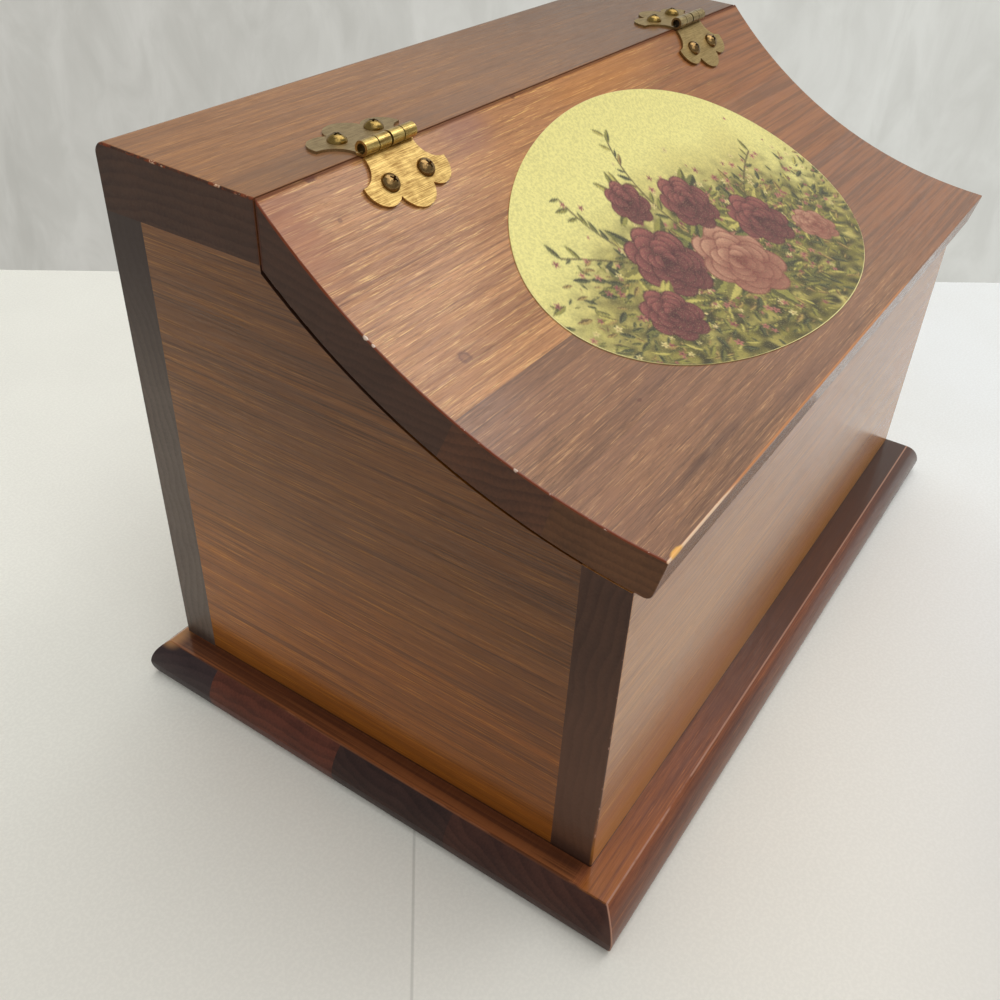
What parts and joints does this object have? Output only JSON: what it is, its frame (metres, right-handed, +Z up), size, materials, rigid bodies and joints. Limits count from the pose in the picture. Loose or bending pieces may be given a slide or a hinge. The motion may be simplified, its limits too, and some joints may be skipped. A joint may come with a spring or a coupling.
{
  "type": "keepsake box",
  "caption": "Wooden keepsake box on a moulded base board, with a hollow-curved lid on brass butterfly hinges and an oval paper picture.",
  "frame": {"origin": "on the floor, at the centre of the base board's underside", "axes": "+Z up; the front, where the lid's low edge is, faces -Y; +X is to the right seen from the front"},
  "size_m": [0.3346, 0.211, 0.2147],
  "materials": {
    "base_wood": "stained pine, satin lacquer",
    "case_wood": "stained pine, satin lacquer",
    "lid_wood": "stained pine, satin lacquer",
    "paper": "colour print under varnish",
    "hinge_brass": "brushed, slightly tarnished",
    "pin_steel": "plain, darkened",
    "screw_brass": "dark tarnished brass plate",
    "fixing_steel": "plain zinc"
  },
  "bodies": {
    "case": {"base_back_board": "base_wood", "base_rear_middle_board": "base_wood", "base_front_middle_board": "base_wood", "base_front_board": "base_wood", "front_board": "case_wood", "back_board": "case_wood", "left_side_panel": "case_wood", "right_side_panel": "case_wood", "top_board": "case_wood", "left_hinge_top_leaf": "hinge_brass", "right_hinge_top_leaf": "hinge_brass", "left_hinge_pin": "pin_steel", "right_hinge_pin": "pin_steel", "hinge_screws_top": "screw_brass", "base_screws": "fixing_steel", "finishing_nails": "fixing_steel"},
    "lid": {"lid_back_board": "lid_wood", "lid_rear_middle_board": "lid_wood", "lid_front_middle_board": "lid_wood", "lid_front_board": "lid_wood", "picture_print": "paper", "left_hinge_lid_leaf": "hinge_brass", "right_hinge_lid_leaf": "hinge_brass", "hinge_screws_lid": "screw_brass"}
  },
  "joints": [
    {"name": "lid_hinge", "type": "hinge", "parent": "case", "child": "lid", "pos_m": [0, 0.03337, 0.21231], "axis": [-1, 0, 0], "range_deg": [0, 211]}
  ]
}
